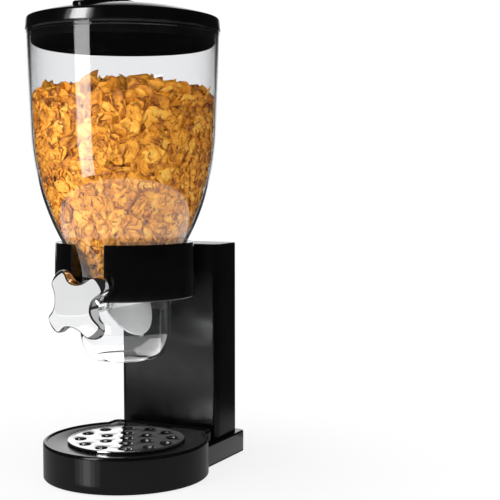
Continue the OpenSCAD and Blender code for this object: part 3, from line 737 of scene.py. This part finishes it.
BOWL_R, BOWL_Z, DRAFT, BOWL_CURVE, CONE = 77.5, 294.0, 1.75, 213.0, 26.8
CLEAR_T, NECK_R = 2.0, 38.0
BEAD_LOW, BEAD_HIGH, BEAD_R = 371.4, 374.6, 80.3
BRIM_R, BRIM_T, BRIM_TOP = 79.0, 1.8, 382.0
FLANGE_Z, FLANGE_R, FLANGE_T = 161.0, 43.0, 3.5
CHUTE_CURVE_Z = 126.0
CHUTE_SIDE_R, CHUTE_LIP_R, CHUTE_SIDE_TURN, CHUTE_LIP_TURN = 41.0, 16.0, 26.0, 62.0
BOSS_R, BUSH_R = 7.4, 5.55
BOSSES = (("front", -41.5, -37.9), ("inner", -36.1, -30.5), ("rear", 30.5, 35.9))


def bowl_line(inset, neck):
    """Outline of the clear wall from the neck up to the bead."""
    cx = BOWL_R - BOWL_CURVE * math.cos(math.radians(DRAFT))
    cz = BOWL_Z + BOWL_CURVE * math.sin(math.radians(DRAFT))
    curve = arc(cx, cz, BOWL_CURVE - inset, -CONE, -DRAFT, 40)
    low, high = curve[0], curve[-1]
    neck_z = low[1] - (low[0] - neck) / math.tan(math.radians(CONE))
    top_r = high[0] + (BEAD_LOW - high[1]) * math.tan(math.radians(DRAFT))
    return [(neck, neck_z)] + curve + [(top_r, BEAD_LOW)]


def hopper():
    """The clear hopper: flange, wall, bead and brim in one turned piece."""
    outer = bowl_line(0, NECK_R)
    inner = bowl_line(CLEAR_T, NECK_R - CLEAR_T)
    flange = [(NECK_R - CLEAR_T, FLANGE_Z), (FLANGE_R, FLANGE_Z),
              (FLANGE_R, FLANGE_Z + FLANGE_T), (NECK_R, FLANGE_Z + FLANGE_T)]
    brim = [(BEAD_R, BEAD_LOW + 0.8), (BEAD_R, BEAD_HIGH), (BRIM_R, BEAD_HIGH),
            (BRIM_R, BRIM_TOP), (BRIM_R - BRIM_T, BRIM_TOP), (BRIM_R - BRIM_T, BEAD_LOW + 2)]
    profile = flange + outer + brim + inner[::-1]
    body = lathe("hopper_clear", fillet(profile, 0.6, 3), CLEAR, sharp=60)
    return place(body, "hopper", "clear", "hopper_bowl")


def chute_line(inset):
    """The chute's wall: a wide curve, then a tight one that draws in to the outlet."""
    side_x = NECK_R - CHUTE_SIDE_R
    step_x, step_z = polar(CHUTE_SIDE_R - CHUTE_LIP_R, CHUTE_SIDE_TURN)
    side = arc(side_x, CHUTE_CURVE_Z, CHUTE_SIDE_R - inset, 0, -CHUTE_SIDE_TURN, 12)
    lip = arc(side_x + step_x, CHUTE_CURVE_Z - step_z, CHUTE_LIP_R - inset,
              -CHUTE_SIDE_TURN, -CHUTE_LIP_TURN, 12)
    return side + lip[1:]


def boss(name, y0, y1):
    """A clear tube about the wheel's axis, bored for a bush."""
    bevel, segments = 0.3, 64
    rings = [(BOSS_R - bevel, y0), (BOSS_R, y0 + bevel), (BOSS_R, y1 - bevel),
             (BOSS_R - bevel, y1), (BUSH_R, y1), (BUSH_R, y0), (BOSS_R - bevel, y0)]
    turns = [2 * math.pi * i / segments for i in range(segments)]
    loops = [[(r * math.cos(a), y, WHEEL_Z + r * math.sin(a)) for a in turns] for r, y in rings]
    return stack(name, loops, CLEAR, capped=False)


def chute():
    """The clear chute and the tubes that hold the wheel's bushes."""
    flange_top = FLANGE_Z - 0.02
    flange = [(NECK_R - CLEAR_T, flange_top), (FLANGE_R, flange_top),
              (FLANGE_R, FLANGE_Z - FLANGE_T), (NECK_R, FLANGE_Z - FLANGE_T)]
    profile = flange + chute_line(0) + chute_line(CLEAR_T)[::-1]
    body = lathe("chute_clear", fillet(profile, 0.5, 3), CLEAR, sharp=60)
    place(body, "hopper", "clear", "chute")
    for side, y0, y1 in BOSSES:
        place(boss("chute_boss_" + side, y0, y1), "hopper", "clear", "chute")


# ------------------------------------------------------------------ lid

DOME_TOP, DOME_Z, DOME_R = 397.3, 384.9, 80.3
LID_R, LID_LOW, SKIRT_IN = 81.0, 375.0, 79.35
DOME_MESHED = 76.0  # radius out to which the dome has fine rings
SCOOP_R, SCOOP_X, SCOOP_Z, SCOOP_SOFT = 38.0, 31.0, 423.0, 1.2
GRIP_H, GRIP_W, GRIP_L, GRIP_LOW, GRIP_ROUND = 3.0, 18.0, 134.0, 386.0, 1.8
DOME_CURVE = (DOME_R ** 2 + (DOME_TOP - DOME_Z) ** 2) / (2 * (DOME_TOP - DOME_Z))


def dome_height(r):
    return DOME_TOP - DOME_CURVE + math.sqrt(DOME_CURVE ** 2 - r * r)


def lid_height(x, y):
    """Top of the lid without its grip: the dome with the two finger scoops let in."""
    dome = dome_height(math.hypot(x, y))
    d2 = (abs(x) - SCOOP_X) ** 2 + y * y
    if d2 >= SCOOP_R ** 2:
        return dome
    scoop = SCOOP_Z - math.sqrt(SCOOP_R ** 2 - d2)
    h = max(0.0, min(1.0, 0.5 + 0.5 * (scoop - dome) / SCOOP_SOFT))
    return scoop * (1 - h) + dome * h - SCOOP_SOFT * h * (1 - h)


def lid():
    """The domed lid with its finger scoops and its skirt."""
    loops, n = [], 240
    spin = [2 * math.pi * i / n for i in range(n)]
    for r in np.linspace(0.0, DOME_MESHED, 90)[1:]:
        circle = [(r * math.cos(a), r * math.sin(a)) for a in spin]
        loops.append([(x, y, lid_height(x, y)) for x, y in circle])
    edge = [(78.6, dome_height(78.6)), (79.5, dome_height(79.5) - 0.15), (80.0, DOME_Z - 0.6),
            (80.3, DOME_Z - 1.4), (LID_R - 0.05, LID_LOW + 1.2), (LID_R, LID_LOW + 0.7),
            (LID_R - 0.3, LID_LOW + 0.15), (LID_R - 0.7, LID_LOW), (SKIRT_IN + 0.2, LID_LOW),
            (SKIRT_IN, LID_LOW + 0.3), (SKIRT_IN, BRIM_TOP), (70.0, BRIM_TOP)]
    for r, z in edge:
        loops.append([(r * math.cos(a), r * math.sin(a), z) for a in spin])
    body = stack("lid_skin", loops, GLOSS_BLACK)
    return place(body, "lid", "black_gloss", "lid_cap")


def lid_grip():
    """The low bar that runs front to back over the dome."""
    half_w, half_l = GRIP_W / 2, (GRIP_L - GRIP_W) / 2

    def stadium(inset):
        r = half_w - inset
        along = [t * half_l for t in np.linspace(-0.96, 0.96, 41)]
        return ([(r, y) for y in along] + arc(0, half_l, r, 0, 180, 24)
                + [(-r, -y) for y in along] + arc(0, -half_l, r, 180, 360, 24))

    def on_dome(inset, drop):
        return [(x, y, dome_height(math.hypot(x, y)) + GRIP_H - drop) for x, y in stadium(inset)]

    loops = [[(x, y, GRIP_LOW) for x, y in stadium(0)]]
    loops += [on_dome(*edge_round(GRIP_ROUND, a)) for a in QUARTER]
    loops += [on_dome(inset, 0.0) for inset in (3.0, 5.0, 7.0, 8.6)]
    grip = stack("lid_grip_bar", loops, GLOSS_BLACK)
    return place(grip, "lid", "black_gloss", "lid_grip")


# ------------------------------------------------------------------ knob and wheel

KNOB_R, LOBE_R, KNOB_TURN, KNOB_FILLET = 32.2, 8.5, 38.5, 13.0
KNOB_BACK, KNOB_FRONT = -66.5, -80.5
CREASE_R, CREASE_DROP, LOBE_DROP = 17.0, 1.6, 7.5
TIP_R, TIP_DROP = 28.0, 2.6
CREASE_SOFT, FACE_ROUND, BACK_ROUND = 0.18, 1.8, 1.2
VANE_R, VANE_T, VANE_TURN = 35.0, 1.6, 26.0
VANE_ROOT, HUB_R, HUB_HALF = 5.6, 8.6, 30.0


def knob_outline():
    """Outline of the four lobes in the plane of the knob."""
    between = (KNOB_FILLET + LOBE_R) * math.sqrt(2)
    quarter = arc(KNOB_R - LOBE_R, 0, LOBE_R, -90, 90, 26)
    quarter += arc(*polar(between, 45), KNOB_FILLET, 270, 180, 12)
    points = []
    for k in range(4):
        turned = math.radians(90 * k + KNOB_TURN)
        points += [(u * math.cos(turned) - v * math.sin(turned),
                    u * math.sin(turned) + v * math.cos(turned)) for u, v in quarter]
    return [p for i, p in enumerate(points) if math.dist(p, points[i - 1]) > 0.05]


def inset_outline(points, inset):
    """The outline drawn in along its normals."""
    out, n = [], len(points)
    for i, (x, y) in enumerate(points):
        tx = points[(i + 1) % n][0] - points[i - 1][0]
        ty = points[(i + 1) % n][1] - points[i - 1][1]
        length = math.hypot(tx, ty)
        out.append((x - inset * ty / length, y + inset * tx / length))
    return out


def knob():
    """The chrome knob; y runs from its back (KNOB_BACK) forward to its face."""
    outline = knob_outline()
    slope = (LOBE_DROP - CREASE_DROP) / (KNOB_R - CREASE_R)
    tip_slope = TIP_DROP / (KNOB_R - TIP_R)

    def face_y(x, z):
        """The face: a shallow dish, lobes that slope back past a crease, chamfered tips."""
        r = math.hypot(x, z)
        middle = CREASE_DROP * (r / CREASE_R) ** 2
        lobe = CREASE_DROP + (r - CREASE_R) * slope
        tip = max(0.0, r - TIP_R) * tip_slope
        drop = (middle + lobe + math.hypot(middle - lobe, CREASE_SOFT)) / 2
        return KNOB_FRONT + drop + tip

    loops = [[(x * s, KNOB_BACK, WHEEL_Z + z * s) for x, z in outline] for s in (0.55, 0.8)]
    for a in range(0, 91, 18):
        drop, inset = edge_round(BACK_ROUND, a)
        loops.append([(x, KNOB_BACK - drop, WHEEL_Z + z)
                      for x, z in inset_outline(outline, inset)])
    for a in QUARTER:
        inset, drop = edge_round(FACE_ROUND, a)
        loops.append([(x, face_y(x, z) + drop, WHEEL_Z + z)
                      for x, z in inset_outline(outline, inset)])
    rim = inset_outline(outline, FACE_ROUND)
    for s in np.linspace(0.985, 0.04, 64):
        loops.append([(x * s, face_y(x * s, z * s), WHEEL_Z + z * s) for x, z in rim])
    body = stack("knob_chromed", loops, CHROME, sharp=50)
    return place(body, "wheel", "chrome", "knob")


def vanes():
    """The four soft vanes of the paddle wheel, rounded to the ball of radius VANE_R."""
    verts, faces = [], []
    reach = math.acos(HUB_R / VANE_R)
    rim = [(VANE_R * math.cos(a), VANE_R * math.sin(a)) for a in np.linspace(-reach, reach, 49)]
    outline = ([(VANE_ROOT, -HUB_HALF), (HUB_R, -HUB_HALF)] + rim
               + [(HUB_R, HUB_HALF), (VANE_ROOT, HUB_HALF)])
    for k in range(4):
        a = math.radians(VANE_TURN + 90 * k)
        out, side = (math.cos(a), math.sin(a)), (-math.sin(a), math.cos(a))
        start = len(verts)
        for t in (-VANE_T / 2, VANE_T / 2):
            for u, v in outline:
                verts.append((out[0] * u + side[0] * t, v, WHEEL_Z + out[1] * u + side[1] * t))
        n = len(outline)
        low = [start + i for i in range(n)]
        high = [start + n + i for i in range(n)]
        faces += [tuple(low), tuple(high)]
        faces += [(low[i - 1], low[i], high[i], high[i - 1]) for i in range(n)]
    body = make_mesh("vanes_soft", verts, faces, SILICONE)
    soften(body, 0.5, 3, 50)
    return place(body, "wheel", "silicone", "paddle_vanes")


# ------------------------------------------------------------------ cereal

FILL_LOW, FILL_WALL, FILL_TOP = 169.0, 315.0, 329.5
SWEPT_R = 36.2  # the vanes sweep a ball of radius VANE_R; flakes stay outside this one
WALL_GAP = 0.35
CONE_Z = 196.0  # below this the hopper is narrow and the flakes shown are small
HEAP_R, HEAP_SEED_R = 75.0, 71.0
LAYERS = ((2.5, 800), (6.0, 640), (10.5, 520))  # distance from the wall, flakes
HEAP_LAYERS = ((0.0, 330), (-5.0, 260))  # height above the heap, flakes
CONE_LINING, WALL_LINING = 260, 900  # flakes that lie flat against the wall
CORE_DEPTH, CORE_LOW = 13.0, 192.0

FLAKE_RINGS, FLAKE_SPOKES = 5, 14
FLAKE_POINTS = 1 + FLAKE_RINGS * FLAKE_SPOKES  # on each of its two faces
ANY_PHASE = 6.3

INNER_WALL = np.array(bowl_line(CLEAR_T, NECK_R - CLEAR_T))


def inner_radius(z):
    return np.interp(z, INNER_WALL[:, 1], INNER_WALL[:, 0])


def heap_height(x, y):
    """Top of the cereal: a low uneven heap."""
    r = np.hypot(x, y) / HEAP_R
    swell = 2.6 * np.sin(0.055 * x + 0.6) * np.cos(0.048 * y - 0.4)
    swell += 1.5 * np.sin(0.12 * y + 0.09 * x)
    return FILL_WALL + (FILL_TOP - FILL_WALL) * (1 - r ** 2) + swell


def flake_shape(rng, size):
    """Points of one flake about its own middle, its upper face first."""
    angles = np.linspace(0, 2 * np.pi, FLAKE_SPOKES, endpoint=False)
    outline = np.ones(FLAKE_SPOKES)
    for waves, depth in ((2, 0.16), (3, 0.10), (5, 0.07)):
        outline = outline + depth * np.sin(waves * angles + rng.uniform(0, ANY_PHASE))
    outline = outline + rng.normal(0, 0.075, FLAKE_SPOKES)
    aspect = rng.uniform(0.6, 0.95)
    cup, saddle = rng.uniform(-0.1, 0.35), rng.uniform(-0.3, 0.3)
    wave, phase = rng.uniform(0.02, 0.07), rng.uniform(0, ANY_PHASE)
    thick = rng.uniform(0.4, 0.65)
    curl = cup + saddle * np.cos(2 * angles) + wave * np.sin(4 * angles + phase)
    middle = [(0.0, 0.0, 0.0)]
    for i in range(1, FLAKE_RINGS + 1):
        t = i / FLAKE_RINGS
        u = size / 2 * t * outline * np.cos(angles)
        v = size / 2 * t * outline * np.sin(angles) * aspect
        rough = rng.normal(0, 0.42, FLAKE_SPOKES) * (1 if i < FLAKE_RINGS else 0.6)
        middle += list(zip(u, v, size / 2 * t * t * curl + rough))
    middle = np.array(middle)
    half = np.zeros(middle.shape)
    half[:, 2] = thick
    half[-FLAKE_SPOKES:, 2] = thick * 0.25
    return np.vstack([middle + half, middle - half])


def flake_faces():
    """Faces of one flake, as numbers of its points."""
    faces = []
    for offset, way in ((0, 1), (FLAKE_POINTS, -1)):
        for j in range(FLAKE_SPOKES):
            k = (j + 1) % FLAKE_SPOKES
            faces.append((offset, offset + 1 + j, offset + 1 + k)[::way])
            for i in range(FLAKE_RINGS - 1):
                a = offset + 1 + i * FLAKE_SPOKES
                b = a + FLAKE_SPOKES
                faces.append((a + j, b + j, b + k, a + k)[::way])
    edge = FLAKE_POINTS - FLAKE_SPOKES
    for j in range(FLAKE_SPOKES):
        k = (j + 1) % FLAKE_SPOKES
        faces.append((edge + j, FLAKE_POINTS + edge + j, FLAKE_POINTS + edge + k, edge + k))
    return faces


def random_frame(rng, normal, loose):
    """Axes of a flake that lies across the normal, tipped at random by loose."""
    n = np.array(normal) + loose * rng.normal(0, 1, 3)
    n /= np.linalg.norm(n)
    other = rng.normal(0, 1, 3)
    u = np.cross(n, other)
    u /= np.linalg.norm(u)
    return np.array([u, np.cross(n, u), n])


def settle(points):
    """Moves a flake inwards until it clears the wall; None if it can't stay."""
    for _ in range(3):
        r = np.hypot(points[:, 0], points[:, 1])
        over = (r - (inner_radius(points[:, 2]) - WALL_GAP)).max()
        if over <= 0:
            break
        centre = points[:, :2].mean(axis=0)
        length = np.linalg.norm(centre)
        if length < 1:
            return None
        points = points.copy()
        points[:, :2] -= centre / length * (over + 0.05)
    r = np.hypot(points[:, 0], points[:, 1])
    if (r > inner_radius(points[:, 2]) - WALL_GAP + 0.02).any():
        return None
    low = np.sqrt(points[:, 0] ** 2 + points[:, 1] ** 2 + (points[:, 2] - WHEEL_Z) ** 2)
    if (low < SWEPT_R).any() or points[:, 2].min() < FILL_LOW:
        return None
    return points


def wall_seed(a, r, z, dip, loose, size):
    """A flake that lies along the wall: place, normal, looseness and size."""
    return (r * np.cos(a), r * np.sin(a), z), (np.cos(a), np.sin(a), dip), loose, size


def flake_seeds(rng):
    """Where the flakes start: layers inside the wall, its linings, and the heap."""
    seeds = []
    zs = np.arange(FILL_LOW + 3, FILL_WALL + 5, 1.0)
    weight = inner_radius(zs)
    weight = weight / weight.sum()
    for layer, count in LAYERS:
        for z in rng.choice(zs, count, p=weight):
            a = rng.uniform(0, 2 * np.pi)
            r = inner_radius(z) - layer - rng.uniform(0, 3)
            narrow = z < CONE_Z
            seeds.append(wall_seed(a, r, z + rng.uniform(-0.5, 0.5), -0.2,
                                   0.35 if narrow else rng.uniform(0.25, 1.0),
                                   rng.uniform(9, 12) if narrow else rng.uniform(13, 25)))
    for a in rng.uniform(0, 2 * np.pi, CONE_LINING):
        z = rng.uniform(FILL_LOW + 3, CONE_Z)
        seeds.append(wall_seed(a, inner_radius(z) - 2.0, z, -0.3, 0.2, rng.uniform(8, 11)))
    for a in rng.uniform(0, 2 * np.pi, WALL_LINING):
        z = rng.uniform(CONE_Z, FILL_WALL)
        seeds.append(wall_seed(a, inner_radius(z) - 1.6, z, -0.15,
                               rng.uniform(0.08, 0.4), rng.uniform(12, 23)))
    for layer, count in HEAP_LAYERS:
        for _ in range(count):
            a, r = rng.uniform(0, 2 * np.pi), HEAP_SEED_R * math.sqrt(rng.uniform(0, 1))
            x, y = r * np.cos(a), r * np.sin(a)
            z = heap_height(x, y) + layer + rng.uniform(-2.5, 1.5)
            seeds.append(((x, y, z), (0, 0, 1), rng.uniform(0.4, 1.1), rng.uniform(13, 25)))
    return seeds


def cereal():
    """Loose flakes, darker towards their edges, and a plain core painted dark brown as the shade
    deep in the heap; the core fills the middle.
    """
    rng = np.random.default_rng(11)
    verts, faces, tones = [], [], []
    template = flake_faces()
    shares = np.repeat(np.arange(1, FLAKE_RINGS + 1) / FLAKE_RINGS, FLAKE_SPOKES)
    out = np.tile(np.r_[0.0, shares], 2)  # 0 at a flake's middle, 1 at its edge
    for centre, normal, loose, size in flake_seeds(rng):
        shape = flake_shape(rng, size)
        tone = float(np.clip(rng.normal(0.52, 0.2), 0.05, 0.98))
        points = settle(shape @ random_frame(rng, normal, loose) + np.array(centre))
        if points is None:
            continue
        total = len(verts) * 2 * FLAKE_POINTS
        verts.append(points)
        faces += [tuple(total + i for i in f) for f in template]
        tones.append(tone + 0.10 - 0.34 * out ** 3)
    points = np.vstack(verts)
    mesh = bpy.data.meshes.new("cereal_flakes")
    mesh.from_pydata(((points + [0, AXIS_Y, 0]) * MM).tolist(), [], faces)
    mesh.shade_smooth()
    tone_data = mesh.attributes.new("tone", "FLOAT", "POINT").data
    tone_data.foreach_set("value", np.concatenate(tones))
    mesh.materials.append(FLAKE)
    obj = bpy.data.objects.new("cereal_flakes", mesh)
    bpy.context.scene.collection.objects.link(obj)
    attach(obj, "hopper")

    # the core is painted dark as shade, and shows in the gaps between the flakes
    core_z = np.linspace(CORE_LOW, FILL_WALL - 8, 24)
    profile = [(0.0, CORE_LOW)] + [(float(inner_radius(z)) - CORE_DEPTH, float(z)) for z in core_z]
    profile += [(40.0, FILL_WALL - 4), (0.0, FILL_WALL - 2)]
    core = lathe("cereal_core", profile, SHADED_CORE_LOOK, closed=False, segments=64)
    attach(core, "hopper")


tray()
foot()
drip_plate()
column()
collar()
hopper()
chute()
lid()
lid_grip()
knob()
vanes()
cereal()


def link_light(lamp, state, *names):
    """Lets the lamp reach only the pieces named (INCLUDE) or all but them (EXCLUDE)."""
    group = bpy.data.collections.new(lamp.name + "_receivers")
    for name in names:
        group.objects.link(bpy.data.objects[name])
    for entry in group.collection_objects:
        entry.light_linking.link_state = state
    lamp.light_linking.receiver_collection = group


link_light(strip, "EXCLUDE", "knob_chromed", "column_skin")
link_light(table_glow, "EXCLUDE", "knob_chromed", "column_skin", "base_tray", "base_foot")
for cards, piece in ((knob_cards, "knob_chromed"), (chute_cards, "chute_clear"),
                     (column_cards, "column_skin"), (tray_cards, "base_tray"),
                     (lid_cards, "lid_skin"), ([foot_card], "base_foot")):
    for card in cards:
        link_light(card, "INCLUDE", piece)
# dark or coloured pieces that would spoil the reflections in the chrome and the column
for name in ("collar_ring", "collar_arm", "cereal_flakes", "cereal_core"):
    bpy.data.objects[name].visible_glossy = False
